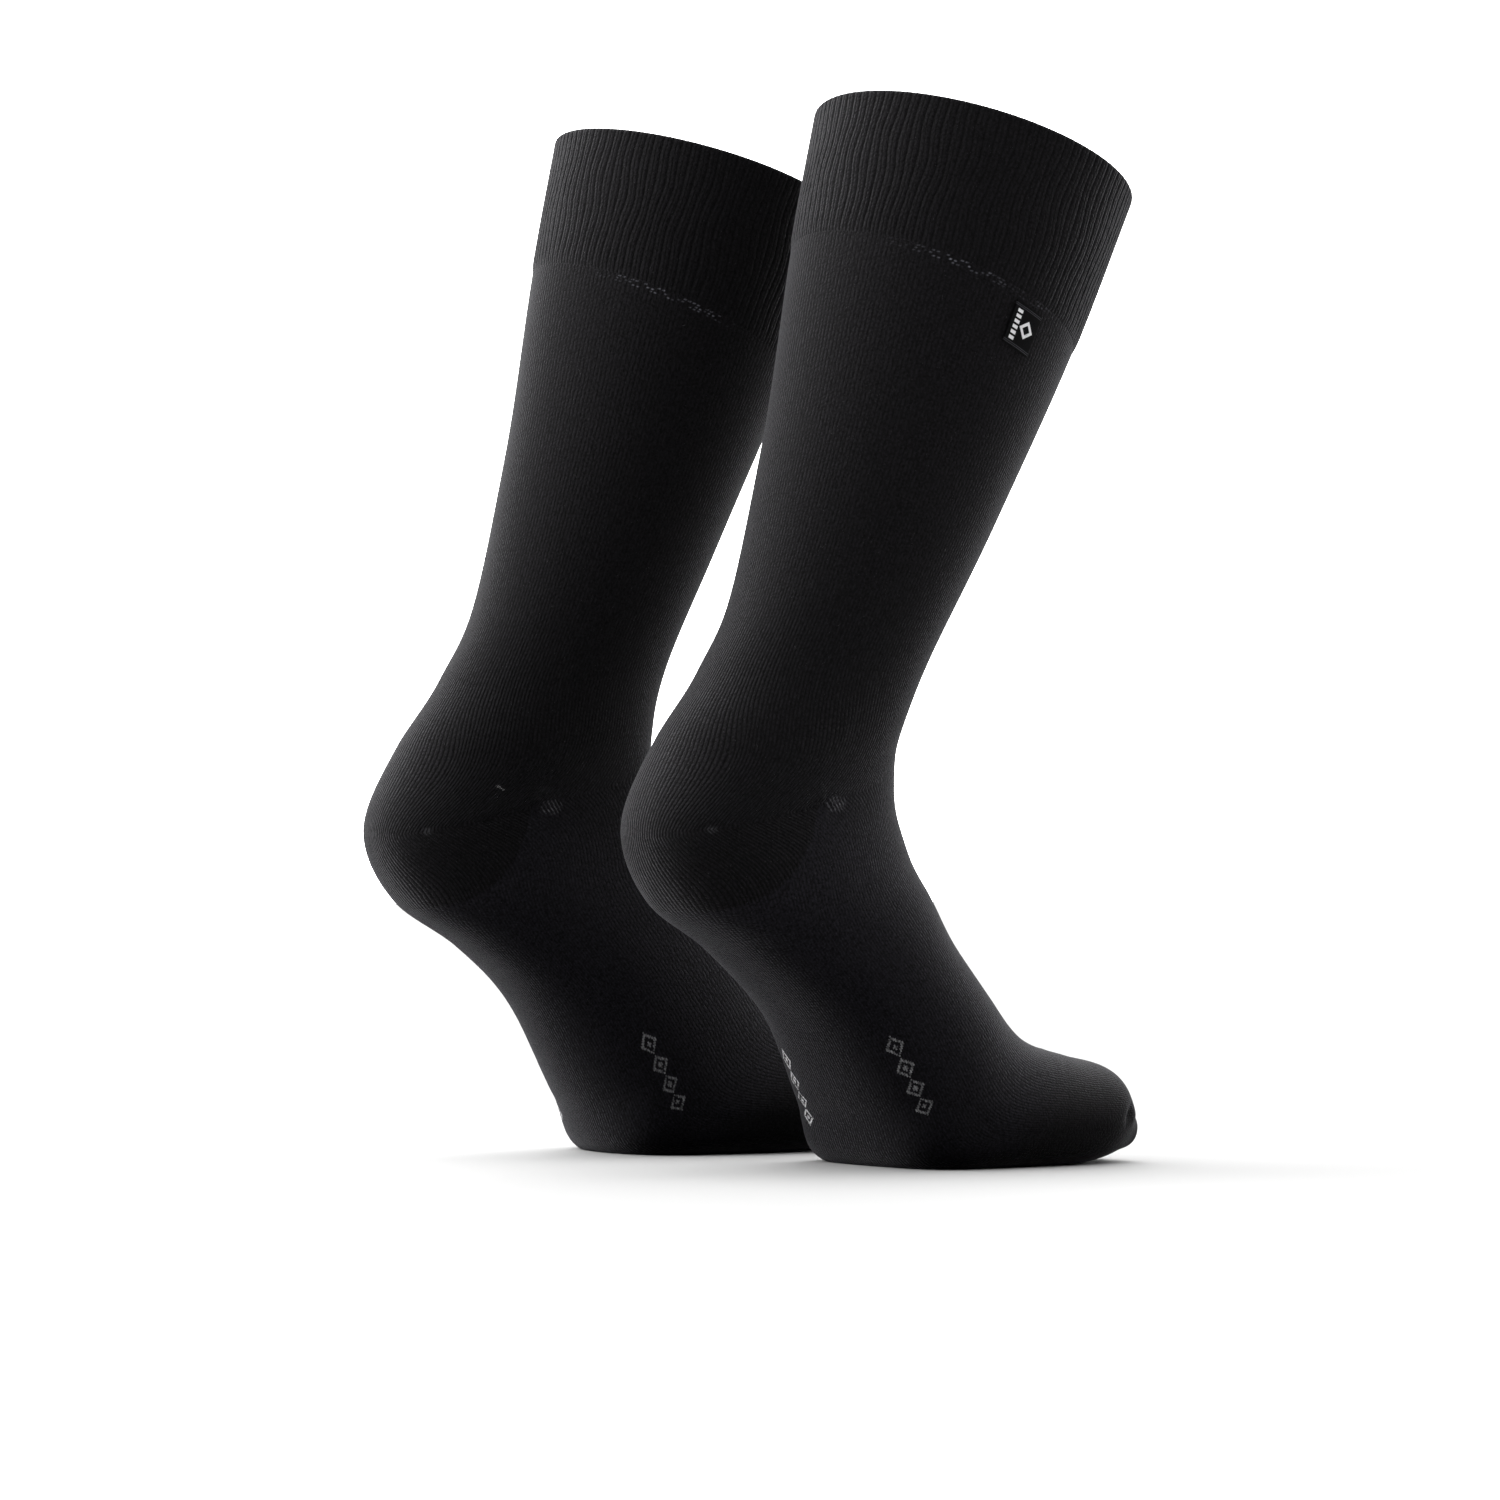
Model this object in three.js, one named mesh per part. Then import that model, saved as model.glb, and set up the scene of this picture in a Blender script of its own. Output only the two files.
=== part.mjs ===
// A pair of fine-knit calf socks, filled out and standing on their toes with the heels raised.
// Millimetres, +Z up, toes towards -Y, soles on the floor at Z = 0.
// Each sock is a knitted tube of leg, heel, foot and toe pocket, under a ribbed double cuff.
// The right sock stands nearer -X and has a small woven label on its outer side.
import * as THREE from "three";

// Cloth
const WALL = 1.2; // single knit of the leg, heel and foot
const CUFF_WALL = 1.8; // the cuff is folded double
const CUFF_PROUD = 0.4; // the cuff's furrows stand this far out from the leg
const SEAM_GAP = 0.3; // between the cuff and the leg, and between the tube's stretches

// Cuff ribs: one knit and one purl column each, on a 200 needle cylinder
const RIBS = 100;
const RIB_DEPTH = 0.7;

// Linked seam across the end of the toes
const TOE_SEAM = { wide: 34, tall: 2.4, ahead: 2.5 };

// Label, sewn flat below the cuff
const LABEL = { side: "right", wide: 13, tall: 16, thick: 0.7, lift: 0.4, row: 1.18, turn: 0.77, cells: 4 };

// The two socks: aside and behind place a sock, turn swings its toes out in degrees about its toes,
// lean moves its leg ahead by a share of the height over the ankle, girth scales its slices, and
// rise lifts the front of its rim.
const SOCKS = [
  { side: "right", aside: 0, behind: 0, turn: 0, lean: 0, girth: 1, rise: 0 },
  { side: "left", aside: 132, behind: 28, turn: -9, lean: -0.04, girth: 0.96, rise: 5 },
];
// Where the left sock stands fuller than the right. facing is 1 at the front and -1 at the back,
// rows is how far up and down it fades, and out how far it stands out along the slice.
const SWELLS = [
  { side: "left", at: "instep", facing: 1, row: 8, rows: 4.5, out: 18 },
  { side: "left", at: "arch", facing: -1, row: 10, rows: 1.3, out: 5 },
];
const SWELL_NARROW = 3; // how narrow a swell is round the tube
const RISE_ROWS = 0.8; // how far down the table the rise fades
const ANKLE_HEIGHT = 160;
const TOE_PIVOT = 150; // how far ahead the point lies that a sock is turned about

// Slices from the rim down the leg, round the heel and out to the toes, each square to the sock's
// middle plane. front and back are its ends there, as distance ahead and height. width is side to
// side. full is how square the outline is on its front and back halves, with 2 for an ellipse. low
// shifts the widest place towards the back end.
const SLICES = [
  { at: "rim", front: [219, 347], back: [108, 386], width: 124, full: [2, 2], low: 0 },
  { at: "cuff edge", front: [194, 290], back: [96, 335], width: 112, full: [2, 2], low: 0 },
  { at: "calf", front: [164, 231], back: [82, 266], width: 92, full: [2, 2], low: 0 },
  { at: "shin", front: [137, 181], back: [66, 206], width: 74, full: [2, 2.1], low: 0 },
  { at: "ankle", front: [126, 156], back: [51, 178], width: 68, full: [2, 2.1], low: 0 },
  { at: "upper heel", front: [124, 140], back: [33, 152], width: 68, full: [2, 2.1], low: -0.1 },
  { at: "heel", front: [126, 126], back: [20, 121], width: 70, full: [2, 2.2], low: -0.15 },
  { at: "heel point", front: [131, 112], back: [33, 94], width: 72, full: [2, 2.3], low: -0.2 },
  { at: "lower heel", front: [138, 98], back: [60, 76], width: 74, full: [2.1, 2.4], low: -0.2 },
  { at: "instep", front: [147, 81], back: [86, 52], width: 80, full: [2.1, 2.4], low: -0.2 },
  { at: "waist", front: [161, 63], back: [104, 21], width: 88, full: [2.1, 2.5], low: -0.25 },
  { at: "ball", front: [177, 46], back: [117, -0.5], width: 94, full: [2.1, 3], low: -0.3 },
  { at: "toe base", front: [198, 39], back: [152, -1.5], width: 92, full: [2.2, 3], low: -0.3 },
  { at: "toes", front: [215, 34], back: [190, -1], width: 80, full: [2.2, 3], low: -0.25 },
  { at: "toe tip", front: [219, 22], back: [215, 2.5], width: 54, full: [2.2, 2.4], low: -0.1 },
];
const CUFF_EDGE = 1; // row of the table where the cuff is joined to the leg
const TOE_END = SLICES.length - 1;

// The knitted tube under the cuff, in stretches between rows of the table
const STRETCHES = [
  { name: "leg", from: CUFF_EDGE, to: 4 },
  { name: "heel", from: 4, to: 8.5 },
  { name: "foot", from: 8.5, to: 12 },
  { name: "toe", from: 12.01, to: TOE_END },
];

// Points round and rings per row of the table
const ROUND = 40;
const ROUND_INSIDE = 20;
const RINGS_PER_ROW = 3;
const INSIDE_SHARE = 2 / 3; // of the outside's rings
const CUFF_RINGS = 4;

const knit = new THREE.MeshStandardMaterial({ color: 0x1b1b1e, roughness: 0.95, metalness: 0 });
const ribbing = new THREE.MeshStandardMaterial({ color: 0x1d1d20, roughness: 0.95, metalness: 0 });
const woven = new THREE.MeshStandardMaterial({ color: 0x262629, roughness: 0.6, metalness: 0 });

const columns = {
  frontAhead: SLICES.map((row) => row.front[0]),
  frontUp: SLICES.map((row) => row.front[1]),
  backAhead: SLICES.map((row) => row.back[0]),
  backUp: SLICES.map((row) => row.back[1]),
  width: SLICES.map((row) => row.width),
  fullFront: SLICES.map((row) => row.full[0]),
  fullBack: SLICES.map((row) => row.full[1]),
  low: SLICES.map((row) => row.low),
};

// Value of a column at a place between its rows, on a Catmull-Rom curve.
function between(values, row) {
  const last = values.length - 1;
  const i = Math.max(0, Math.min(Math.floor(row), last - 1));
  const s = row - i;
  const here = values[i];
  const next = values[i + 1];
  const before = i > 0 ? values[i - 1] : 2 * here - next;
  const after = i < last - 1 ? values[i + 2] : 2 * next - here;
  const bend = 2 * before - 5 * here + 4 * next - after;
  const twist = 3 * here - before - 3 * next + after;
  return 0.5 * (2 * here + s * (next - before + s * (bend + s * twist)));
}

// How far the sock's swells move a point along its slice, towards the front.
function swelling(sock, row, cos) {
  const mine = SWELLS.filter((swell) => swell.side === sock.side);
  const moves = mine.map(({ facing, row: middle, rows: reach, out }) =>
    facing * out * Math.exp(-(((row - middle) / reach) ** 4))
      * Math.max(0, facing * cos) ** SWELL_NARROW);
  return moves.reduce((sum, move) => sum + move, 0);
}

// Point of the smooth outer form. turn runs from 0 at the front, over the left side, to 1.
function formPoint(sock, row, turn) {
  const c = {};
  for (const name in columns) c[name] = between(columns[name], row);
  const cos = Math.cos(turn * 2 * Math.PI);
  const sin = Math.sin(turn * 2 * Math.PI);
  const full = cos > 0 ? c.fullFront : c.fullBack;
  const reach = 1 / (Math.abs(cos) ** full + Math.abs(sin) ** full) ** (1 / full);
  const along = reach * cos;
  const share = (sock.girth / 2) * (along + c.low * (1 - along * along))
    + swelling(sock, row, cos) / Math.hypot(c.frontAhead - c.backAhead, c.frontUp - c.backUp);
  const rise = sock.rise * Math.exp(-((row / RISE_ROWS) ** 2)) * (1 + cos) / 2;
  const up = Math.max(0, (c.backUp + c.frontUp) / 2 + (c.frontUp - c.backUp) * share + rise);
  const ahead = (c.backAhead + c.frontAhead) / 2 + (c.frontAhead - c.backAhead) * share;
  const y = -(ahead + sock.lean * Math.max(0, up - ANKLE_HEIGHT));
  return new THREE.Vector3((sock.girth * c.width * reach * sin) / 2, y, up);
}

// The same point moved out from the form, or in where out is negative.
function wallPoint(sock, row, turn, out) {
  const step = 0.01;
  const down = formPoint(sock, row + step, turn).sub(formPoint(sock, row - step, turn));
  const round = formPoint(sock, row, turn + step).sub(formPoint(sock, row, turn - step));
  const outward = down.cross(round).normalize();
  const point = formPoint(sock, row, turn).addScaledVector(outward, out);
  return point.setZ(Math.max(point.z, Math.max(0, -out)));
}

// Collects points and faces of one closed body.
class Body {
  constructor() {
    this.points = [];
    this.faces = [];
  }

  add(point) {
    this.points.push(point.x, point.y, point.z);
    return this.points.length / 3 - 1;
  }

  ring(count, pointAt) {
    return Array.from({ length: count }, (_, i) => this.add(pointAt(i / count, i)));
  }

  // Faces between two closed rings, whose numbers of points may differ. They face out where the
  // second ring lies down the tube from the first.
  band(first, second) {
    let i = 0;
    let j = 0;
    while (i < first.length || j < second.length) {
      const a = first[i % first.length];
      const b = second[j % second.length];
      if (j === second.length || (i + 1) / first.length <= (j + 1) / second.length) {
        i += 1;
        this.faces.push(a, b, first[i % first.length]);
      } else {
        j += 1;
        this.faces.push(a, b, second[j % second.length]);
      }
    }
  }

  bands(rings) {
    for (let i = 1; i < rings.length; i++) this.band(rings[i - 1], rings[i]);
  }

  mesh(name, material) {
    const geometry = new THREE.BufferGeometry();
    geometry.setAttribute("position", new THREE.Float32BufferAttribute(this.points, 3));
    geometry.setIndex(this.faces);
    geometry.computeVertexNormals();
    const mesh = new THREE.Mesh(geometry, material);
    mesh.name = name;
    return mesh;
  }
}

// Rows of the table from one place to another, both included.
function rows(from, to, count) {
  return Array.from({ length: count + 1 }, (_, i) => from + ((to - from) * i) / count);
}

// The table row that lies at least a distance down the tube from another, all the way round.
function rowBelow(sock, row, distance) {
  const step = 0.05;
  const lengths = rows(0, 1, ROUND).flatMap((turn) => [0, -WALL].map((out) =>
    wallPoint(sock, row, turn, out).distanceTo(wallPoint(sock, row + step, turn, out))));
  return row + (step * distance) / Math.min(...lengths);
}

// One stretch of the knitted tube, open at the top. It is open below too, except the toe pocket,
// whose last rings draw in to the slit of the linked seam.
function stretch(sock, { name, from, to }) {
  const body = new Body();
  const top = rowBelow(sock, from, SEAM_GAP);
  const count = Math.max(4, Math.round((to - top) * RINGS_PER_ROW));
  const outer = rows(top, to, count).map((row) =>
    body.ring(ROUND, (turn) => wallPoint(sock, row, turn, 0)));
  const inner = rows(top, to, Math.round(count * INSIDE_SHARE)).map((row) =>
    body.ring(ROUND_INSIDE, (turn) => wallPoint(sock, row, turn, -WALL)));
  if (to < TOE_END) {
    body.bands([...inner.reverse(), ...outer]);
    body.band(outer[count], inner[0]);
    return body.mesh(`${name}_${sock.side}`, knit);
  }
  const tip = formPoint(sock, TOE_END, 0).lerp(formPoint(sock, TOE_END, 0.5), 0.5);
  const seamPoint = (turn, depth) => new THREE.Vector3(
    (TOE_SEAM.wide / 2) * Math.sin(turn * 2 * Math.PI),
    tip.y - TOE_SEAM.ahead + depth,
    tip.z + (TOE_SEAM.tall / 2) * Math.cos(turn * 2 * Math.PI),
  );
  const middle = (depth) => body.add(tip.clone().setY(tip.y - TOE_SEAM.ahead + depth));
  const slit = body.ring(ROUND, (turn) => seamPoint(turn, 0));
  const slitInside = body.ring(ROUND_INSIDE, (turn) => seamPoint(turn, WALL));
  body.bands([[middle(WALL)], slitInside, ...inner.reverse(), ...outer, slit, [middle(0)]]);
  return body.mesh(`${name}_${sock.side}`, knit);
}

// Ribbed cuff, folded double, whose rim is the rounded fold. Furrows and ribs take turns round the
// outside, and the inside is plain.
function cuff(sock) {
  const body = new Body();
  const rib = (i) => CUFF_PROUD + (i % 2 ? RIB_DEPTH : 0);
  const inside = CUFF_PROUD - CUFF_WALL;
  const rim = rowBelow(sock, 0, CUFF_WALL / 2);
  const outer = rows(rim, CUFF_EDGE, CUFF_RINGS).map((row) =>
    body.ring(2 * RIBS, (turn, i) => wallPoint(sock, row, turn, rib(i))));
  const inner = rows(rim, CUFF_EDGE, CUFF_RINGS).map((row) =>
    body.ring(RIBS / 2, (turn) => wallPoint(sock, row, turn, inside)));
  const fold = body.ring(RIBS, (turn) => wallPoint(sock, 0, turn, CUFF_PROUD + inside / 2));
  body.bands([...inner.reverse(), fold, ...outer]);
  body.band(outer[CUFF_RINGS], inner[0]);
  return body.mesh(`cuff_${sock.side}`, ribbing);
}

// Woven label: a patch of the tube's form, lifted off it and given a thickness.
function label(sock) {
  const body = new Body();
  const { row, turn, wide, tall, lift, thick } = LABEL;
  const at = wallPoint(sock, row, turn, 0);
  const turnsPerMm = 0.01 / at.distanceTo(wallPoint(sock, row, turn + 0.01, 0));
  const rowsPerMm = 0.01 / at.distanceTo(wallPoint(sock, row + 0.01, turn, 0));
  const grid = (out) => rows(-0.5, 0.5, LABEL.cells).map((v) =>
    rows(-0.5, 0.5, LABEL.cells).map((u) =>
      body.add(wallPoint(sock, row + v * tall * rowsPerMm, turn + u * wide * turnsPerMm, out))));
  const back = grid(lift);
  const face = grid(lift + thick);
  const quad = (a, b, c, d) => body.faces.push(a, b, c, a, c, d);
  const n = LABEL.cells;
  for (let i = 0; i < n; i++) {
    for (let j = 0; j < n; j++) {
      quad(face[i][j], face[i + 1][j], face[i + 1][j + 1], face[i][j + 1]);
      quad(back[i][j], back[i][j + 1], back[i + 1][j + 1], back[i + 1][j]);
    }
    quad(face[i][0], back[i][0], back[i + 1][0], face[i + 1][0]);
    quad(face[i][n], face[i + 1][n], back[i + 1][n], back[i][n]);
    quad(face[0][i], face[0][i + 1], back[0][i + 1], back[0][i]);
    quad(face[n][i], back[n][i], back[n][i + 1], face[n][i + 1]);
  }
  return body.mesh(`label_${sock.side}`, woven);
}

const group = new THREE.Group();
group.name = "pair_of_socks";
for (const sock of SOCKS) {
  const about = new THREE.Group();
  about.name = `sock_${sock.side}`;
  about.add(cuff(sock), ...STRETCHES.map((part) => stretch(sock, part)));
  if (sock.side === LABEL.side) about.add(label(sock));
  for (const piece of about.children) piece.geometry.translate(0, TOE_PIVOT, 0);
  about.rotation.z = THREE.MathUtils.degToRad(sock.turn);
  about.position.set(sock.aside, sock.behind - TOE_PIVOT, 0);
  group.add(about);
}

// The pair's middle on the floor is the origin.
const box = new THREE.Box3().setFromObject(group, true);
group.position.set(-(box.min.x + box.max.x) / 2, -(box.min.y + box.max.y) / 2, -box.min.z);

export default group;
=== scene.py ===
"""Looks of a pair of fine-knit calf socks, filled out and resting on ball and toes.

Each sock is a knitted shell on the form of its solids, with a ribbed double cuff, a heel pocket, a
linked toe seam and a little loose fuzz. Lengths in the tables are in millimetres, as in the CAD.
"""

import logging
import math
from dataclasses import dataclass, field
from enum import Enum
from typing import Callable

import bmesh
import bpy
import numpy as np
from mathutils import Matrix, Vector

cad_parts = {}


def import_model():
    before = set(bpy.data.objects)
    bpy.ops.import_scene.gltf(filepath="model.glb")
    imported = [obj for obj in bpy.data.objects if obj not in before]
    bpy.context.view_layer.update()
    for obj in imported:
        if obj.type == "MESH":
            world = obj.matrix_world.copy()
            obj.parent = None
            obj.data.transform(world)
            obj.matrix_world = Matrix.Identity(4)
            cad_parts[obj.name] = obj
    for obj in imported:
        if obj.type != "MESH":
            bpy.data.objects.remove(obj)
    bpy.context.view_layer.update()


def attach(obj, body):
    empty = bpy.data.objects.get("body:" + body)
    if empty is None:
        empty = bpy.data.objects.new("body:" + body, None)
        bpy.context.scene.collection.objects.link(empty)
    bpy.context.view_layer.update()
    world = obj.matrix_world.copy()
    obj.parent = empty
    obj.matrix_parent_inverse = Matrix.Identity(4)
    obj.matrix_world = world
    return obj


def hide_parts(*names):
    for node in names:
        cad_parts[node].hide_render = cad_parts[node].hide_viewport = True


LOG = logging.getLogger("socks")
MM = 0.001
TAU = 2 * math.pi
PAIR_AT = (-64.3311, 107.4074)  # the right sock's own origin in the pair's frame
TOE_PIVOT = 150.0
ANKLE_HEIGHT = 160.0
CUFF_EDGE = 1.0
SWELL_NARROW = 3  # how closely a swell keeps to the middle of the front or the back
RISE_ROWS = 0.8  # how far down the table the rim's rise reaches
WALES = 188  # stitch columns round a tube
RIB_WALES = 200  # stitch columns round a cuff, two to a rib
COURSE = 1.05  # height of a stitch
CUFF_TALL = 54.0  # height of the cuff, the table's first row
ROW_TALL = 27.0  # height of a later row, on average
GIRTH = 260.0  # way round a sock, on average
HEEL_GIRTH = 235.0
HEEL_CORNER = (5.72, 0.283)  # row, and turns from the back, of each end of the heel's suture
FLANK = 0.275  # turns from the back to where the heel pocket ends
SENSOR = 36.0  # width of the camera's sensor


class Side(Enum):
    """Which foot a sock is for."""

    RIGHT = "right"
    LEFT = "left"


@dataclass(frozen=True)
class Slice:
    """A slice square to the sock's middle plane, from its front end to its back end."""

    at: str
    front: tuple[float, float]
    back: tuple[float, float]
    width: float
    full: tuple[float, float]
    low: float


SLICES = (
    Slice("rim", (219, 347), (108, 386), 124, (2, 2), 0),
    Slice("cuff edge", (194, 290), (96, 335), 112, (2, 2), 0),
    Slice("calf", (164, 231), (82, 266), 92, (2, 2), 0),
    Slice("shin", (137, 181), (66, 206), 74, (2, 2.1), 0),
    Slice("ankle", (126, 156), (51, 178), 68, (2, 2.1), 0),
    Slice("upper heel", (124, 140), (33, 152), 68, (2, 2.1), -0.1),
    Slice("heel", (126, 126), (20, 121), 70, (2, 2.2), -0.15),
    Slice("heel point", (131, 112), (33, 94), 72, (2, 2.3), -0.2),
    Slice("lower heel", (138, 98), (60, 76), 74, (2.1, 2.4), -0.2),
    Slice("instep", (147, 81), (86, 52), 80, (2.1, 2.4), -0.2),
    Slice("waist", (161, 63), (104, 21), 88, (2.1, 2.5), -0.25),
    Slice("ball", (177, 46), (117, -0.5), 94, (2.1, 3), -0.3),
    Slice("toe base", (198, 39), (152, -1.5), 92, (2.2, 3), -0.3),
    Slice("toes", (215, 34), (190, -1), 80, (2.2, 3), -0.25),
    Slice("toe tip", (219, 22), (215, 2.5), 54, (2.2, 2.4), -0.1),
)
TOE_END = float(len(SLICES) - 1)


@dataclass(frozen=True)
class Swell:
    """A place where a sock stands fuller: facing is 1 at the front and -1 at the back."""

    facing: int
    row: float
    rows: float
    out: float

    def along(self, row: np.ndarray, cos: np.ndarray) -> np.ndarray:
        """How far it moves points along their slices, in millimetres towards the front."""
        fade = np.exp(-(((row - self.row) / self.rows) ** 4))
        return self.facing * self.out * fade * np.maximum(0, self.facing * cos) ** SWELL_NARROW


@dataclass(frozen=True)
class Stance:
    """How one sock stands in the pair, and where its marks lie as (row, turn)."""

    side: Side
    aside: float
    behind: float
    turn: float
    lean: float
    girth: float
    rise: float
    swells: tuple[Swell, ...]
    side_mark: tuple[float, float]
    sole_mark: tuple[float, float]


STANCES = (
    Stance(Side.RIGHT, 0, 0, 0, 0, 1, 0, (), (9.8, 0.666), (9.85, 0.41)),
    Stance(
        side=Side.LEFT,
        aside=132,
        behind=28,
        turn=-9,
        lean=-0.04,
        girth=0.96,
        rise=5,
        swells=(Swell(1, 8, 4.5, 18), Swell(-1, 10, 1.3, 5)),
        side_mark=(10.15, 0.726),
        sole_mark=(9.9, 0.418),
    ),
)


def catmull(values: np.ndarray, row: np.ndarray) -> np.ndarray:
    """Values between the rows of a table column.

    Args:
        values: The column.
        row: Places along it, counted in rows.

    Returns:
        One value for each place, on a Catmull-Rom curve.
    """
    last = len(values) - 1
    padded = np.concatenate(
        [[2 * values[0] - values[1]], values, [2 * values[last] - values[last - 1]]]
    )
    i = np.clip(np.floor(row).astype(int), 0, last - 1)
    s = row - i
    before, here, after, beyond = (padded[i + k] for k in range(4))
    bend = 2 * before - 5 * here + 4 * after - beyond
    twist = 3 * here - before - 3 * after + beyond
    return 0.5 * (2 * here + s * (after - before + s * (bend + s * twist)))


class Form:
    """The smooth outer form of one sock, in metres in the pair's frame."""

    def __init__(self, stance: Stance) -> None:
        """Args: stance: Where the sock stands and how its slices are scaled."""
        self.stance = stance
        names = "front_ahead front_up back_ahead back_up width full_front full_back low".split()
        table = np.array([(*s.front, *s.back, s.width, *s.full, s.low) for s in SLICES], float)
        self.columns = dict(zip(names, table.T))

    def own_point(self, row: np.ndarray, turn: np.ndarray) -> np.ndarray:
        """Points in the sock's own frame, in millimetres.

        Args:
            row: Places down the tube, in rows of the table.
            turn: Places round it, from 0 at the front over the left to 1.

        Returns:
            An array with a row of x, y and z for each place.
        """
        c = {name: catmull(values, row) for name, values in self.columns.items()}
        cos, sin = np.cos(turn * TAU), np.sin(turn * TAU)
        full = np.where(cos > 0, c["full_front"], c["full_back"])
        reach = (np.abs(cos) ** full + np.abs(sin) ** full) ** (-1 / full)
        along = reach * cos
        deep = np.hypot(c["front_ahead"] - c["back_ahead"], c["front_up"] - c["back_up"])
        share = self.stance.girth / 2 * (along + c["low"] * (1 - along * along))
        share = share + sum(swell.along(row, cos) for swell in self.stance.swells) / deep
        up = (c["back_up"] + c["front_up"]) / 2 + (c["front_up"] - c["back_up"]) * share
        rise = self.stance.rise * np.exp(-((row / RISE_ROWS) ** 2)) * (1 + cos) / 2
        up = np.maximum(0, up + rise)
        ahead = (c["back_ahead"] + c["front_ahead"]) / 2
        ahead = ahead + (c["front_ahead"] - c["back_ahead"]) * share
        ahead = ahead + self.stance.lean * np.maximum(0, up - ANKLE_HEIGHT)
        x = self.stance.girth * c["width"] * reach * sin / 2
        return np.stack([x, -ahead, up], -1)

    def wall(self, row: np.ndarray, turn: np.ndarray, out: np.ndarray) -> np.ndarray:
        """Points moved out from the form, or in where out is negative, in millimetres."""
        e = 0.01
        down = self.own_point(row + e, turn) - self.own_point(row - e, turn)
        round_ = self.own_point(row, turn + e) - self.own_point(row, turn - e)
        normal = np.cross(down, round_)
        normal /= np.linalg.norm(normal, axis=1, keepdims=True) + 1e-12
        out = np.broadcast_to(out, row.shape)
        point = self.own_point(row, turn) + normal * out[:, None]
        point[:, 2] = np.maximum(point[:, 2], np.maximum(0.0, -out))
        return point

    def place(self, point: np.ndarray) -> np.ndarray:
        """Own points in millimetres turned and moved into the pair's frame, in metres."""
        a = math.radians(self.stance.turn)
        x, y = point[:, 0], point[:, 1] + TOE_PIVOT
        out = np.empty_like(point)
        out[:, 0] = x * math.cos(a) - y * math.sin(a) + self.stance.aside + PAIR_AT[0]
        out[:, 1] = x * math.sin(a) + y * math.cos(a) + self.stance.behind - TOE_PIVOT
        out[:, 1] += PAIR_AT[1]
        out[:, 2] = point[:, 2]
        return out * MM

    def spacing(self, row: float, turn: float, step: float) -> tuple[float, float]:
        """Millimetres to a row of the table, and to a turn, at one place.

        Args:
            row: The place's row.
            turn: Its turn.
            step: How far to look from it, in rows and in turns.

        Returns:
            The spacing down the tube and the spacing round it.
        """
        row0, turn0 = np.array([row]), np.array([turn])
        here = self.own_point(row0, turn0)
        down = np.linalg.norm(self.own_point(row0 + step, turn0) - here)
        round_ = np.linalg.norm(self.own_point(row0, turn0 + step) - here)
        return down / step, round_ / step

    def lengths(self, rows: np.ndarray, turn: float = 0.25) -> np.ndarray:
        """Distance in millimetres from the first row to each, down one side of the tube."""
        point = self.own_point(rows, np.full_like(rows, turn))
        steps = np.linalg.norm(np.diff(point, axis=0), axis=1)
        return np.concatenate([[0.0], np.cumsum(steps)])

    def even_rows(self, start: float, end: float, count: int) -> np.ndarray:
        """Rows from start to end that lie evenly spaced down the tube's side."""
        fine = np.linspace(start, end, 400)
        length = self.lengths(fine)
        return np.interp(np.linspace(0, length[-1], count), length, fine)


def wobble(row: np.ndarray, turn: np.ndarray) -> np.ndarray:
    """How far, as a share of a turn, a stitch column wanders from its straight course."""
    slow = np.sin(TAU * (3 * turn + 0.21 * row) + 0.8)
    quick = np.sin(TAU * (11 * turn - 0.9 * row) + 2.1)
    return 0.0011 * slow + 0.0004 * quick


# Meshes


def mapped_grid(
    across: int,
    down: int,
    place: Callable[[np.ndarray, np.ndarray], np.ndarray],
    maps: dict[str, Callable[[np.ndarray, np.ndarray], np.ndarray]],
    fields: dict[str, Callable[[np.ndarray, np.ndarray], np.ndarray]],
) -> bpy.types.Mesh:
    """A flat grid bent into a shape.

    Args:
        across: Cells round the shape.
        down: Cells down it.
        place: Gives points in metres for the grid's u and v, each from 0 to 1.
        maps: UV maps by name, each from u and v.
        fields: Vertex values by name, each from u and v.

    Returns:
        The mesh, still open where the grid's edges meet.
    """
    bm = bmesh.new()
    bmesh.ops.create_grid(bm, x_segments=across, y_segments=down, size=0.5)
    mesh = bpy.data.meshes.new("grid")
    bm.to_mesh(mesh)
    bm.free()
    count = len(mesh.vertices)
    co = np.empty(count * 3)
    mesh.vertices.foreach_get("co", co)
    u, v = co.reshape(-1, 3)[:, 0] + 0.5, co.reshape(-1, 3)[:, 1] + 0.5
    mesh.vertices.foreach_set("co", place(u, v).ravel())
    corner = np.empty(len(mesh.loops), int)
    mesh.loops.foreach_get("vertex_index", corner)
    for name, rule in maps.items():
        layer = mesh.uv_layers.new(name=name)
        layer.uv.foreach_set("vector", rule(u, v)[corner].ravel())
    for name, rule in fields.items():
        values = mesh.attributes.new(name, "FLOAT", "POINT")
        values.data.foreach_set("value", rule(u, v))
    return mesh


def join(name: str, meshes: list[bpy.types.Mesh], finish: Callable) -> bpy.types.Object:
    """One object from several meshes.

    Args:
        name: The object's name.
        meshes: Meshes to join; they are used up.
        finish: Closes and tidies the joined bmesh.

    Returns:
        The object, linked to the scene and smooth shaded.
    """
    bm = bmesh.new()
    for mesh in meshes:
        bm.from_mesh(mesh)
    finish(bm)
    joined = bpy.data.meshes.new(name)
    bm.to_mesh(joined)
    bm.free()
    for mesh in meshes:
        bpy.data.meshes.remove(mesh)
    joined.shade_smooth()
    obj = bpy.data.objects.new(name, joined)
    bpy.context.scene.collection.objects.link(obj)
    return obj


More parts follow.
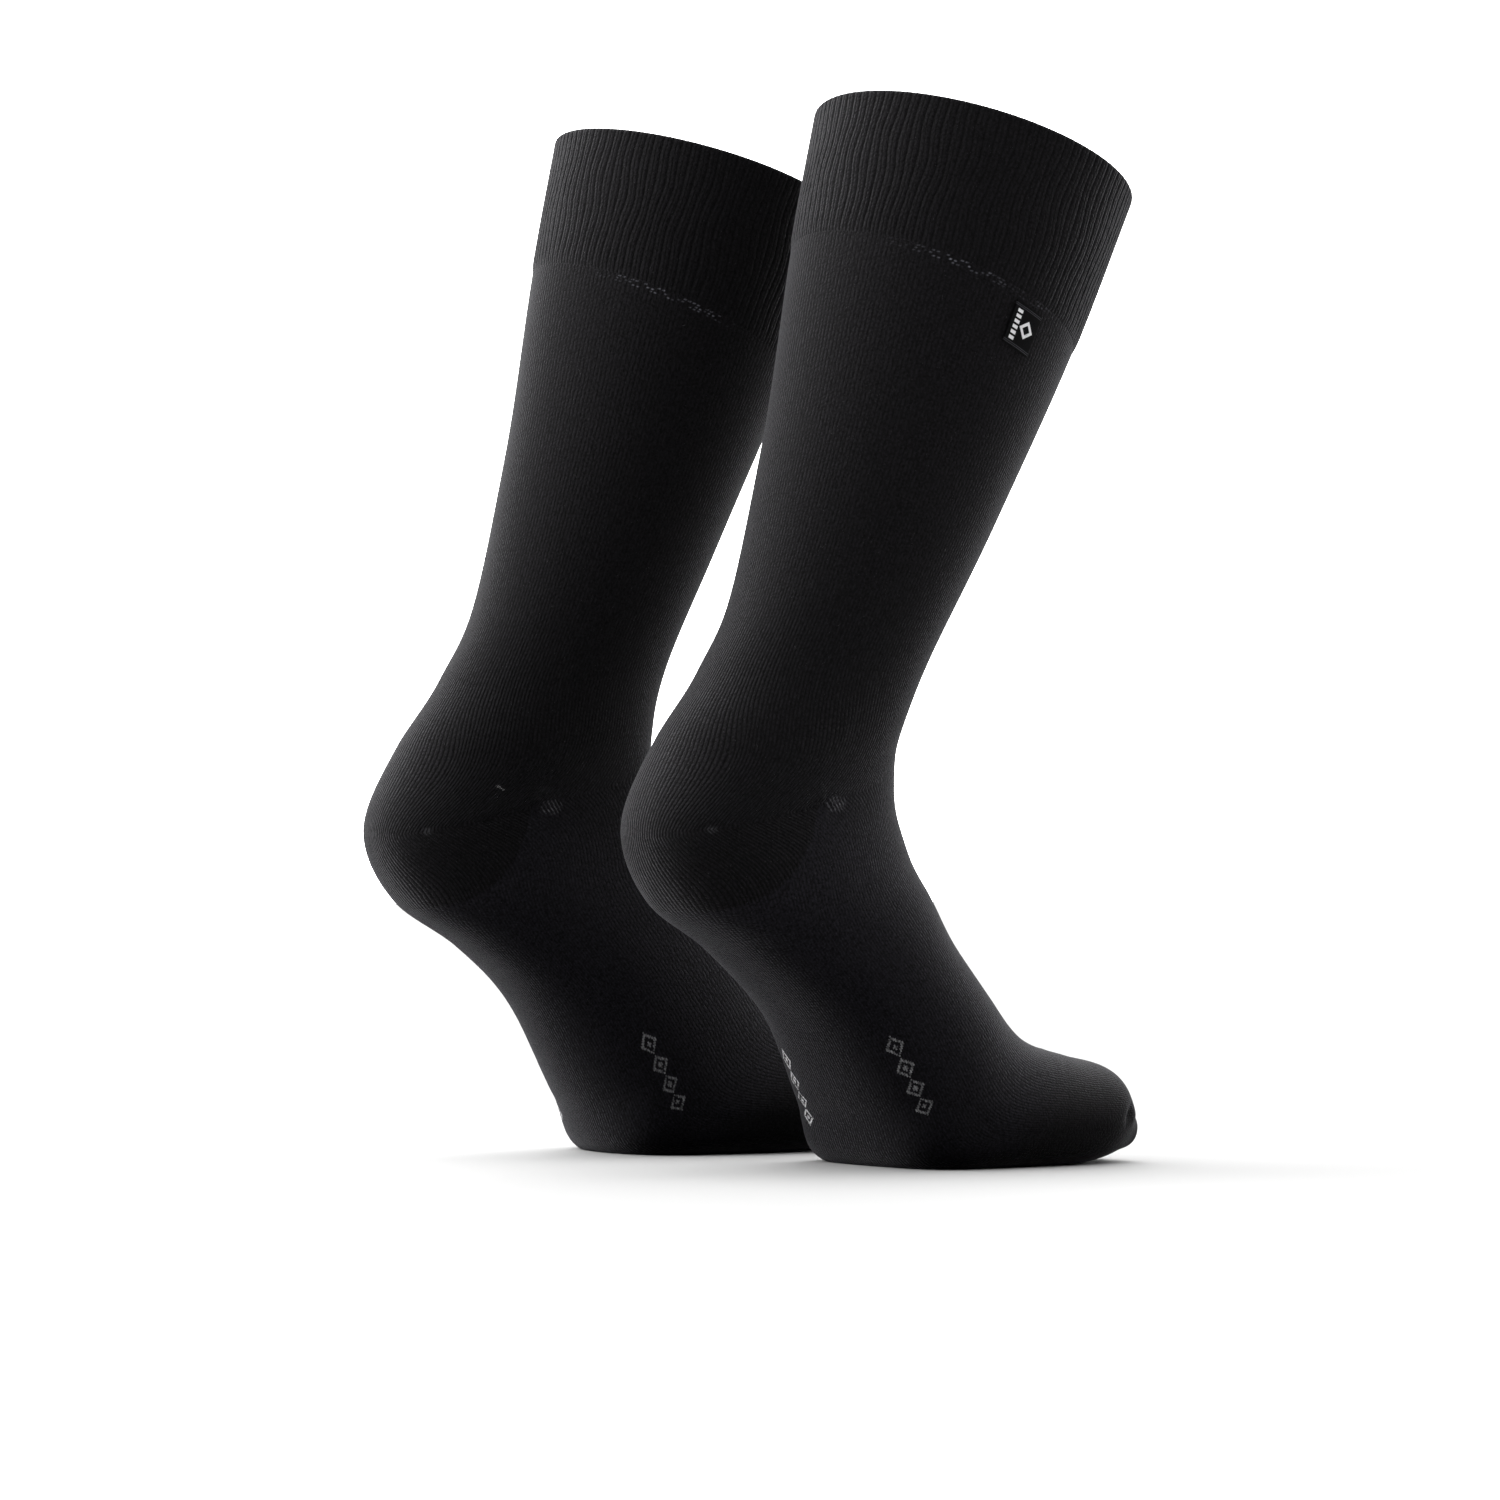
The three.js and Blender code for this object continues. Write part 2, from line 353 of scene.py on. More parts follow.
def facing_out(bm: bmesh.types.BMesh) -> None:
    """Turns the faces of a closed mesh outwards."""
    bmesh.ops.recalc_face_normals(bm, faces=bm.faces)


# Materials


def linear(hex_colour: str) -> tuple[float, float, float, float]:
    """A colour such as "#1b1b1e" as linear red, green, blue and alpha."""
    parts = (int(hex_colour[i : i + 2], 16) / 255 for i in (1, 3, 5))
    r, g, b = (p / 12.92 if p <= 0.04045 else ((p + 0.055) / 1.055) ** 2.4 for p in parts)
    return r, g, b, 1.0


class Graph:
    """A material's node tree, with short ways to add nodes."""

    def __init__(self, name: str) -> None:
        """Args: name: The material's name."""
        self.material = bpy.data.materials.new(name)
        self.material.use_nodes = True
        self.tree = self.material.node_tree
        self.shader = self.tree.nodes["Principled BSDF"]

    def node(self, kind: str, inputs: dict | None = None, **settings: object) -> bpy.types.Node:
        """Adds a node.

        Args:
            kind: Its type, such as "ShaderNodeMath".
            inputs: Values or sockets for its inputs, by index or name.
            settings: Its own properties.

        Returns:
            The node.
        """
        made = self.tree.nodes.new(kind)
        for key, value in settings.items():
            setattr(made, key, value)
        for key, value in (inputs or {}).items():
            if isinstance(value, bpy.types.NodeSocket):
                self.tree.links.new(value, made.inputs[key])
            else:
                made.inputs[key].default_value = value
        return made

    def math(self, operation: str, *values: object) -> bpy.types.NodeSocket:
        """Output of a maths node on the values or sockets."""
        return self.node(
            "ShaderNodeMath", dict(enumerate(values)), operation=operation
        ).outputs[0]

    def uv(self, name: str) -> tuple[bpy.types.NodeSocket, bpy.types.NodeSocket]:
        """The two coordinates of one of the piece's UV maps."""
        uv = self.node("ShaderNodeUVMap", uv_map=name).outputs[0]
        split = self.node("ShaderNodeSeparateXYZ", {0: uv})
        return split.outputs[0], split.outputs[1]

    def field(self, name: str) -> bpy.types.NodeSocket:
        """One of the piece's vertex values."""
        return self.node("ShaderNodeAttribute", attribute_name=name).outputs["Fac"]

    def mix(self, factor: object, first: object, second: object) -> bpy.types.NodeSocket:
        """Colour between two, by a factor."""
        return self.node(
            "ShaderNodeMix", {0: factor, 6: first, 7: second}, data_type="RGBA"
        ).outputs[2]

    def smooth(self, value: object, low: float, high: float) -> bpy.types.NodeSocket:
        """0 below low, 1 above high and a soft step between."""
        return self.node(
            "ShaderNodeMapRange",
            {0: value, 1: low, 2: high, 3: 0.0, 4: 1.0},
            interpolation_type="SMOOTHSTEP",
        ).outputs[0]

    def noise(self, scale: float, detail: float = 2.0) -> bpy.types.NodeSocket:
        """Soft noise in the piece's own space; scale is in cycles a metre."""
        where = self.node("ShaderNodeTexCoord").outputs["Object"]
        return self.node(
            "ShaderNodeTexNoise", {"Vector": where, "Scale": scale, "Detail": detail}
        ).outputs[0]

    def link(self, socket: bpy.types.NodeSocket, name: str) -> None:
        """Joins a socket to one of the shader's inputs."""
        self.tree.links.new(socket, self.shader.inputs[name])

    def bump(self, height: bpy.types.NodeSocket, distance: float, strength: float) -> None:
        """Bends the shader's normal by a height that runs from 0 to 1 over a distance."""
        bump = self.node(
            "ShaderNodeBump", {"Height": height, "Distance": distance, "Strength": strength}
        )
        self.link(bump.outputs[0], "Normal")


@dataclass(frozen=True)
class KnitFinish:
    """Fine charcoal cotton knit: matt, near black face on, greyer where the fuzz catches light."""

    name: str = "cotton_knit_charcoal"
    thread: str = "#0c0b0d"
    foot: str = "#141317"
    mark: str = "#6c6c6e"
    sole_mark: str = "#cfcfd1"
    suture: str = "#050506"
    # painted highlight colour for the heel-corner pleats, also used for a yarn end's smear
    pleat_highlight_and_smear: str = "#6c6c70"
    # painted glint colour for the transfer stitches under the cuff
    transfer_glint: str = "#505056"
    fibre: str = "#18181b"
    fuzz: float = 0.22
    transfer_down: float = 2.2  # how far under the cuff the row of transfer stitches lies
    transfer_turn: float = 0.71  # where round the leg their flecks show most

    def stitches(self, g: Graph, u: object, v: object) -> tuple:
        """Height of the V-shaped stitches, and of their columns alone.

        Args:
            g: The material's graph.
            u: Stitch columns round the tube, counted from the front.
            v: Stitch rows down the tube.

        Returns:
            Sockets for the stitch height and the column height, each from 0 to 1.
        """
        half = g.math("ABSOLUTE", g.math("SUBTRACT", g.math("FRACT", u), 0.5))
        column = g.math("SINE", g.math("MULTIPLY", g.math("SUBTRACT", 0.5, half), math.pi))
        slanted = g.math("ADD", v, g.math("MULTIPLY", half, 1.1))
        loop = g.math("ABSOLUTE", g.math("SINE", g.math("MULTIPLY", slanted, math.pi)))
        both = g.math("MULTIPLY", column, g.math("MULTIPLY_ADD", loop, 0.5, 0.5))
        return both, column

    def grain(self, g: Graph) -> bpy.types.NodeSocket:
        """Fine grain of the yarn, from 0 to 1."""
        return g.smooth(g.noise(1100.0, 4.0), 0.28, 0.72)

    def roughen(self, g: Graph, height: object, grain: object) -> None:
        """Sets the cloth's bump from the height of its stitches and its grain."""
        g.bump(g.math("MULTIPLY_ADD", grain, 0.6, height), 0.0003, 0.85)

    def base(self, g: Graph) -> None:
        """Sets what is the same all over the cloth."""
        s = g.shader.inputs
        s["Roughness"].default_value = 0.95
        s["Specular IOR Level"].default_value = 0.12
        s["Sheen Weight"].default_value = self.fuzz
        s["Sheen Roughness"].default_value = 0.33
        s["Sheen Tint"].default_value = linear("#dddce2")

    def mark_mask(self, g: Graph, name: str, tall: float) -> bpy.types.NodeSocket:
        """A knitted-in row of stepped hollow diamonds between dots, 1 on them and 0 elsewhere.

        Args:
            g: The material's graph.
            name: The UV map, in millimetres from the middle of the row.
            tall: Height of a diamond, in millimetres.

        Returns:
            The mask's socket.
        """
        x, y = g.uv(name)
        pitch, stitch = 8.0, 0.62
        step_x = g.math("MULTIPLY", g.math("ROUND", g.math("DIVIDE", x, stitch)), stitch)
        step_y = g.math("MULTIPLY", g.math("ROUND", g.math("DIVIDE", y, stitch)), stitch)
        cell = g.math("SUBTRACT", g.math("FRACT", g.math("DIVIDE", step_x, pitch)), 0.5)
        reach = g.math("MULTIPLY", g.math("ABSOLUTE", cell), pitch / 3.9)
        rise = g.math("DIVIDE", g.math("ABSOLUTE", step_y), tall / 2)
        size = g.math("ADD", reach, rise)
        outline = g.math("COMPARE", size, 0.86, 0.15)
        centre = g.math("LESS_THAN", size, 0.26)
        ends = g.math("LESS_THAN", g.math("ABSOLUTE", x), 2 * pitch + 0.1)
        return g.math("MULTIPLY", g.math("MAXIMUM", outline, centre), ends)

    def shaded(self, g: Graph, colour: object, shade: object) -> bpy.types.NodeSocket:
        """A colour multiplied by a grey value."""
        return g.node(
            "ShaderNodeMix", {0: 1.0, 6: colour, 7: shade}, data_type="RGBA", blend_type="MULTIPLY"
        ).outputs[2]

    def spot(
        self,
        g: Graph,
        x: object,
        y: object,
        middle: tuple[float, float],
        reach: tuple[float, float],
    ) -> bpy.types.NodeSocket:
        """A soft oval, 1 in the middle and 0 beyond its reach.

        Args:
            g: The material's graph.
            x: Socket of the place across, in millimetres.
            y: Socket of the place down.
            middle: Middle of the oval.
            reach: Half its width and half its height.

        Returns:
            The oval's socket.
        """
        across = g.math("DIVIDE", g.math("SUBTRACT", x, middle[0]), reach[0])
        down = g.math("DIVIDE", g.math("SUBTRACT", y, middle[1]), reach[1])
        far = g.math("ADD", g.math("MULTIPLY", across, across), g.math("MULTIPLY", down, down))
        return g.math("SUBTRACT", 1.0, g.smooth(far, 0.15, 1.0))

    def gathers(self, g: Graph) -> bpy.types.NodeSocket:
        """Painted highlights on the pleats and bunched columns beside each heel corner, and the
        smear of a yarn end.
        """
        x, y = g.uv("corner")
        # painted highlights on the pleat ridges: slanted strokes 1.15 mm apart, which steepen
        # towards the instep
        steeper = g.math("MULTIPLY", g.math("MULTIPLY", x, x), 0.03)
        leaning = g.math("MULTIPLY_ADD", x, 0.72, steeper)
        slanted = g.math("ADD", leaning, g.math("MULTIPLY", y, -0.42))
        stroke = g.smooth(g.math("SINE", g.math("MULTIPLY", slanted, TAU / 1.15)), 0.0, 0.9)
        fan = g.math("MULTIPLY", stroke, self.spot(g, x, y, (3.4, 0.4), (3.9, 4.4)))
        bunched = g.math("MULTIPLY", self.spot(g, x, y, (0.8, -6.0), (5.0, 5.0)), 0.04)
        smear = g.math("MULTIPLY", self.spot(g, x, y, (-33.6, 8.9), (2.6, 1.8)), 0.2)
        return g.math("MAXIMUM", g.math("MAXIMUM", fan, bunched), smear)

    def transfer(self, g: Graph, turn: object, length: object) -> bpy.types.NodeSocket:
        """Painted light glints on the transfer stitches just under the cuff.

        Args:
            g: The material's graph.
            turn: Socket of the place round the leg, in turns.
            length: Socket of the place down the leg, in millimetres.

        Returns:
            The painted glints' socket, strongest near one turn and patchy round it.
        """
        down = g.math("ABSOLUTE", g.math("SUBTRACT", length, self.transfer_down))
        near = g.math("SUBTRACT", 1.0, g.smooth(down, 0.9, 2.2))
        u, v = g.math("MULTIPLY", turn, WALES), g.math("DIVIDE", length, COURSE)
        u = g.math("MULTIPLY_ADD", v, 0.35, u)
        cell = g.node("ShaderNodeCombineXYZ", {0: g.math("FLOOR", u), 1: g.math("FLOOR", v)})
        chance = g.node("ShaderNodeTexWhiteNoise", {"Vector": cell.outputs[0]}).outputs["Value"]
        wide = g.math("ABSOLUTE", g.math("SINE", g.math("MULTIPLY", u, math.pi)))
        tall = g.math("ABSOLUTE", g.math("SINE", g.math("MULTIPLY", v, math.pi)))
        transfer_glint = g.math("MULTIPLY", g.smooth(wide, 0.35, 0.9), g.smooth(tall, 0.35, 0.9))
        transfer_glint = g.math("MULTIPLY", transfer_glint, g.smooth(chance, 0.35, 0.8))
        patch = g.smooth(g.noise(24.0, 1.0), 0.22, 0.5)
        away = g.math("ABSOLUTE", g.math("SUBTRACT", turn, self.transfer_turn))
        patch = g.math("MULTIPLY", patch, g.math("SUBTRACT", 1.0, g.smooth(away, 0.02, 0.13)))
        return g.math("MULTIPLY", g.math("MULTIPLY", near, transfer_glint), patch)

    def material(self) -> bpy.types.Material:
        """The tube's cloth: leg, heel pocket, foot and toe pocket."""
        g = Graph(self.name)
        self.base(g)
        turn, length = g.uv("knit")
        u, v = g.math("MULTIPLY", turn, WALES), g.math("DIVIDE", length, COURSE)
        stitch, column = self.stitches(g, u, v)
        blur = g.field("blur")
        foot = g.node(
            "ShaderNodeMapRange",
            {0: g.field("below"), 1: g.math("MULTIPLY", blur, -1.0), 2: blur, 3: 0.0, 4: 1.0},
            interpolation_type="SMOOTHSTEP",
        ).outputs[0]
        pocket = g.smooth(g.field("pocket"), 0.0, 1.0)
        toe = g.smooth(g.field("toe"), -0.6, 0.6)
        patchy = g.smooth(g.noise(70.0), 0.3, 0.75)
        thread = self.grain(g)
        # the columns show plainly in the heel pocket, and in patches elsewhere, as painted shade in
        # the gaps between them
        plain = g.math("MULTIPLY_ADD", patchy, 0.3, 0.12)
        wales = g.math("MULTIPLY_ADD", pocket, 0.55, plain)
        shade = g.math("MULTIPLY_ADD", thread, 1.4, 0.3)
        even = g.math("MULTIPLY", column, math.pi / 2)
        lines = g.math("MULTIPLY_ADD", even, wales, g.math("SUBTRACT", 1.0, wales))
        shade = g.math("MULTIPLY", shade, lines)
        # painted shade between the loops of each stitch
        shade = g.math("MULTIPLY", shade, g.math("MULTIPLY_ADD", stitch, 0.3, 0.82))
        # the foot is paler than the leg; the toe pocket is taken back to the darker thread colour
        # as painted shade
        foot_tone_less_toe_shade = g.math("SUBTRACT", foot, g.math("MULTIPLY", toe, 1.2))
        colour = g.mix(foot_tone_less_toe_shade, linear(self.thread), linear(self.foot))
        seam = g.smooth(g.field("suture"), 0.35, 1.0)
        colour = g.mix(g.math("MULTIPLY", seam, 0.75), colour, linear(self.suture))
        # painted highlights on the heel-corner pleats, and the yarn end's smear
        gathers = g.math("MULTIPLY", self.gathers(g), 0.36)
        colour = g.mix(gathers, colour, linear(self.pleat_highlight_and_smear))
        # painted glints on the transfer stitches
        transfer = g.math("MULTIPLY", self.transfer(g, turn, length), 0.9)
        colour = g.mix(transfer, colour, linear(self.transfer_glint))
        colour = g.mix(self.mark_mask(g, "side_mark", 7.2), colour, linear(self.mark))
        colour = g.mix(self.mark_mask(g, "sole_mark", 8.0), colour, linear(self.sole_mark))
        g.link(self.shaded(g, colour, shade), "Base Color")
        depth = g.math("MULTIPLY_ADD", pocket, 0.5, 0.25)
        height = g.math("MULTIPLY_ADD", stitch, 0.25, g.math("MULTIPLY", column, depth))
        self.roughen(g, height, thread)
        return g.material

    def cuff_material(self) -> bpy.types.Material:
        """The cuff's cloth: ribs are in the mesh, their stitches are here."""
        g = Graph("cotton_rib_charcoal")
        self.base(g)
        turn, length = g.uv("knit")
        v = g.math("DIVIDE", length, COURSE)
        stitch, _ = self.stitches(g, g.math("MULTIPLY", turn, RIB_WALES), v)
        thread = self.grain(g)
        deep = g.field("rib")
        # each rib is one column of stitches, whose two legs part along its crest; the furrows and
        # these parting lines are painted darker as shade
        crest = g.math("ABSOLUTE", g.math("SINE", g.math("MULTIPLY", turn, RIB_WALES * math.pi)))
        shade = g.math("MULTIPLY_ADD", thread, 1.3, 0.35)
        # painted shade: darker in the furrows between ribs and on each crest's parting line
        shade = g.math("MULTIPLY", shade, g.math("MULTIPLY_ADD", deep, 0.5, 0.55))
        shade = g.math("MULTIPLY", shade, g.math("MULTIPLY_ADD", crest, 0.8, 0.45))
        g.link(self.shaded(g, linear(self.thread), shade), "Base Color")
        height = g.math("MULTIPLY_ADD", stitch, 0.3, g.math("MULTIPLY", crest, 0.5))
        self.roughen(g, height, thread)
        return g.material

    def fibre_material(self) -> bpy.types.Material:
        """Loose fibres: thin, dark and a little see-through, so they light up along the outline."""
        g = Graph("cotton_fibre_loose")
        s = g.shader.inputs
        s["Base Color"].default_value = linear(self.fibre)
        s["Roughness"].default_value = 0.7
        s["Specular IOR Level"].default_value = 0.1
        s["Sheen Weight"].default_value = 0.3
        s["Alpha"].default_value = 0.55
        return g.material


@dataclass(frozen=True)
class LabelFinish:
    """Woven polyester label: near black satin ground, fine grey edge lines and a plain mark."""

    ground: str = "#050506"
    pale: str = "#e2e2e4"
    line: str = "#3c3c40"

    def material(self, wide: float, tall: float) -> bpy.types.Material:
        """The label's cloth, charted from its size in millimetres."""
        g = Graph("woven_label")
        s = g.shader.inputs
        s["Roughness"].default_value = 0.7
        s["Specular IOR Level"].default_value = 0.05
        x, y = g.uv("label")
        edge = g.math("SUBTRACT", tall / 2, g.math("ABSOLUTE", y))
        first = g.math("COMPARE", edge, 0.9, 0.12)
        second = g.math("COMPARE", edge, 1.5, 0.12)
        lines = g.math("MAXIMUM", first, second)
        # a diamond with a hollow middle, and a column of six short bars beside it
        across = g.math("SUBTRACT", x, 1.6)
        size = g.math("ADD", g.math("ABSOLUTE", across), g.math("ABSOLUTE", y))
        diamond = g.math("COMPARE", size, 2.6, 0.75)
        bars = g.math("COMPARE", g.math("FRACT", g.math("DIVIDE", y, 2.0)), 0.5, 0.3)
        column = g.math("COMPARE", x, -3.5, 1.15)
        inner = g.math("LESS_THAN", g.math("ABSOLUTE", y), 6.0)
        bars = g.math("MULTIPLY", g.math("MULTIPLY", bars, column), inner)
        mark = g.math("MAXIMUM", diamond, bars)
        weave = g.math("SINE", g.math("MULTIPLY", y, 22.0))
        warp = g.math("SINE", g.math("MULTIPLY", x, 22.0))
        height = g.math("MULTIPLY", weave, warp)
        colour = g.mix(lines, linear(self.ground), linear(self.line))
        colour = g.mix(mark, colour, linear(self.pale))
        g.link(colour, "Base Color")
        g.bump(height, 0.00012, 0.6)
        return g.material


# The pieces


@dataclass
class Tube:
    """Leg, heel pocket, foot and toe pocket, knitted in one and closed by a linked toe seam."""

    form: Form
    wall: float = 1.2
    around: int = 240
    down: int = 270
    closing: int = 8
    seam_wide: float = 34.0
    seam_ahead: float = 2.0
    drawn_in: float = 12.0
    start: float = 0.98
    obj: bpy.types.Object | None = field(default=None, init=False)

    def rows_of(self, v: np.ndarray) -> tuple[np.ndarray, np.ndarray]:
        """Table rows for the grid's v, and how far each point has drawn in to the toe seam."""
        body = self.down / (self.down + self.closing)
        table = self.form.even_rows(self.start, TOE_END, 400)
        row = np.interp(np.minimum(v / body, 1), np.linspace(0, 1, 400), table)
        return row, np.clip((v - body) / (1 - body), 0, 1)

    def surface(self, out: float) -> Callable[[np.ndarray, np.ndarray], np.ndarray]:
        """A rule for points of the tube's outside or inside.

        Args:
            out: Distance out from the form, in millimetres.

        Returns:
            A function of the grid's u and v.
        """

        def place(u: np.ndarray, v: np.ndarray) -> np.ndarray:
            row, drawn = self.rows_of(v)
            turn = u % 1.0
            point = self.form.wall(row, turn, np.full_like(u, out) + self.relief(row, turn, out))
            ends = self.form.own_point(np.array([TOE_END] * 2), np.array([0.0, 0.5]))
            tip = ends.mean(axis=0)
            seam = np.empty_like(point)
            seam[:, 0] = self.seam_wide / 2 * np.sin(turn * TAU)
            seam[:, 1] = tip[1] - self.seam_ahead - out * 0.7
            seam[:, 2] = tip[2]
            swing = drawn * math.pi / 2
            draw = (1 - np.cos(swing))[:, None]
            mixed = point * (1 - draw) + seam * draw
            mixed[:, 1] = point[:, 1] + (seam[:, 1] - point[:, 1]) * np.sin(swing)
            return self.form.place(mixed)

        return place

    def relief(self, row: np.ndarray, turn: np.ndarray, out: float) -> np.ndarray:
        """Small raised and sunk places on the outside, in millimetres."""
        if out < 0:
            return np.zeros_like(row)
        under_cuff = np.clip((CUFF_EDGE - row) / 0.02, 0, 1)
        sunk = -0.4 * self.suture(row, turn) - 0.1 * under_cuff
        toe = 0.12 * np.exp(-(((row - self.toe_edge(turn)) / 0.05) ** 2))
        slack = 0.25 * np.sin(TAU * (2 * turn + 0.37 * row)) * np.sin(1.9 * row + 1.0)
        inside = 1 / (1 + np.exp((np.abs(row - 7.5) - 5.5) * 6))
        pucker = 0.35 * self.pucker(row, turn)
        return sunk + toe + slack * inside + pucker - self.seam_ends(row, turn)

    def toe_edge(self, turn: np.ndarray) -> np.ndarray:
        """Row where the toe pocket begins, a little later under the foot."""
        return 11.72 - 0.2 * np.cos(turn * TAU)

    def seam_ends(self, row: np.ndarray, turn: np.ndarray) -> np.ndarray:
        """The dimple at each end of the linked toe seam, with the small lump ahead of it."""
        side = np.minimum(np.abs(turn - 0.8), np.abs(turn - 0.2)) / 0.026
        dimple = 1.5 * np.exp(-(((row - 13.15) / 0.09) ** 2) - side**2)
        lump = 0.6 * np.exp(-(((row - 13.42) / 0.12) ** 2) - (side / 1.3) ** 2)
        return dimple - lump

    def flank(self, turn: np.ndarray) -> np.ndarray:
        """Place round the back half, 0 at the back and 1 at each heel corner."""
        return np.abs((turn % 1.0) - 0.5) / FLANK

    def suture_line(self, turn: np.ndarray) -> np.ndarray:
        """Row where the heel pocket's two halves join."""
        return 6.1 - 0.35 * self.flank(turn) ** 3

    def suture(self, row: np.ndarray, turn: np.ndarray) -> np.ndarray:
        """1 on the line where the heel pocket's two halves join, 0 away from it."""
        f = self.flank(turn)
        zigzag = 0.012 * np.sin(turn * TAU * 60)
        on = np.exp(-(((row - self.suture_line(turn) - zigzag) / 0.03) ** 2))
        ends = np.clip((f - 0.45) / 0.3, 0, 1) * np.clip((1.02 - f) / 0.06, 0, 1)
        knot = np.exp(-(((row - 6.05) / 0.05) ** 2) - (((f - 0.5) / 0.025) ** 2))
        return np.maximum(on * ends, 0.9 * knot)

    def below(self, row: np.ndarray, turn: np.ndarray) -> np.ndarray:
        """Rows past the lower edge of the heel pocket and the instep, where the foot begins."""
        f = np.clip(self.flank(turn), 0, 1)
        return row - (5.75 + 1.4 * np.sqrt(np.clip(1 - f**4, 0, 1)))

    def blur(self, row: np.ndarray, turn: np.ndarray) -> np.ndarray:
        """How softly the foot's shade begins, in rows: crisp at the pocket, soft on the instep."""
        return 0.04 + 6.0 * np.clip(self.flank(turn) - 1.0, 0, 1)

    def pocket(self, row: np.ndarray, turn: np.ndarray) -> np.ndarray:
        """1 in the heel pocket, fading out up the ankle and round to the instep."""
        up = np.clip((row - 2.4) / 2.0, 0, 1)
        round_ = np.clip((1.45 - self.flank(turn)) / 0.6, 0, 1)
        return up * round_ * np.clip(0.5 - self.below(row, turn) / 0.08, 0, 1)

    def toe(self, row: np.ndarray, turn: np.ndarray) -> np.ndarray:
        """Rows past the edge of the toe pocket."""
        return row - self.toe_edge(turn)

    def pucker(self, row: np.ndarray, turn: np.ndarray) -> np.ndarray:
        """Slight gathers round each heel corner."""
        f = self.flank(turn) - 1.03
        down = (row - HEEL_CORNER[0]) * 0.5
        r = np.hypot(down, f)
        angle = np.arctan2(f, down)
        return np.exp(-((r / 0.09) ** 2)) * np.cos(angle * 7)

    def corner_map(self, u: np.ndarray, v: np.ndarray) -> np.ndarray:
        """Millimetres across and down from the nearer heel corner."""
        row, _ = self.rows_of(v)
        away = np.abs(u - 0.5) - HEEL_CORNER[1]
        return np.stack([away * HEEL_GIRTH, (row - HEEL_CORNER[0]) * ROW_TALL], -1)

    def knit_map(self, u: np.ndarray, v: np.ndarray) -> np.ndarray:
        """Stitch columns as turns, and distance down the side in millimetres.

        The columns come to a point on the heel's suture, as its two halves are knitted apart.
        """
        row, drawn = self.rows_of(v)
        fine = np.linspace(self.start, TOE_END, 400)
        length = np.interp(row, fine, self.form.lengths(fine)) + drawn * self.drawn_in
        off = np.abs(row - self.suture_line(u))
        side = np.where(u > 0.5, 1.0, -1.0)
        f = self.flank(u)
        weight = np.clip(f * 2, 0, 1) * np.clip((1.6 - f) / 0.65, 0, 1)
        point = 0.1 * off * np.exp(-((off / 1.2) ** 2)) * side * weight
        spread = 0.02 * np.exp(-(((row - 6.8) / 1.2) ** 2)) * np.sin(TAU * (u - 0.5))
        return np.stack([u - point - spread + wobble(row, u), length], -1)

    def mark_map(self, centre: tuple[float, float]) -> Callable:
        """A rule for millimetres along and across the tube from a mark's middle."""
        per_row, per_turn = self.form.spacing(*centre, step=0.02)

        def rule(u: np.ndarray, v: np.ndarray) -> np.ndarray:
            row, _ = self.rows_of(v)
            return np.stack([(row - centre[0]) * per_row, (u - centre[1]) * per_turn], -1)

        return rule

    def build(self) -> bpy.types.Object:
        """Makes the tube with its outside, its plain inside and a closed rim."""
        side = self.form.stance.side.value
        maps = {
            "knit": self.knit_map,
            "corner": self.corner_map,
            "side_mark": self.mark_map(self.form.stance.side_mark),
            "sole_mark": self.mark_map(self.form.stance.sole_mark),
        }

        def of_rows(rule: Callable) -> Callable:
            return lambda u, v: rule(self.rows_of(v)[0], u)

        names = ("below", "blur", "pocket", "toe", "suture")
        fields = {name: of_rows(getattr(self, name)) for name in names}
        down = self.down + self.closing
        outside = mapped_grid(self.around, down, self.surface(0.0), maps, fields)
        inside = mapped_grid(self.around // 4, down // 3, self.surface(-self.wall), maps, fields)

        def finish(bm: bmesh.types.BMesh) -> None:
            bmesh.ops.remove_doubles(bm, verts=bm.verts, dist=2e-6)
            bmesh.ops.dissolve_degenerate(bm, edges=bm.edges, dist=2e-6)
            rim = [e for e in bm.edges if e.is_boundary]
            bmesh.ops.bridge_loops(bm, edges=rim)
            facing_out(bm)

        self.obj = join(f"sock_tube_{side}", [outside, inside], finish)
        return self.obj

    def dress(self, finish: KnitFinish) -> None:
        """Gives the cloth its finish and says what it stands for."""
        side = self.form.stance.side.value
        self.obj.data.materials.append(finish.material())
        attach(self.obj, "root")
        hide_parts(*(f"{part}_{side}" for part in ("leg", "heel", "foot", "toe")))


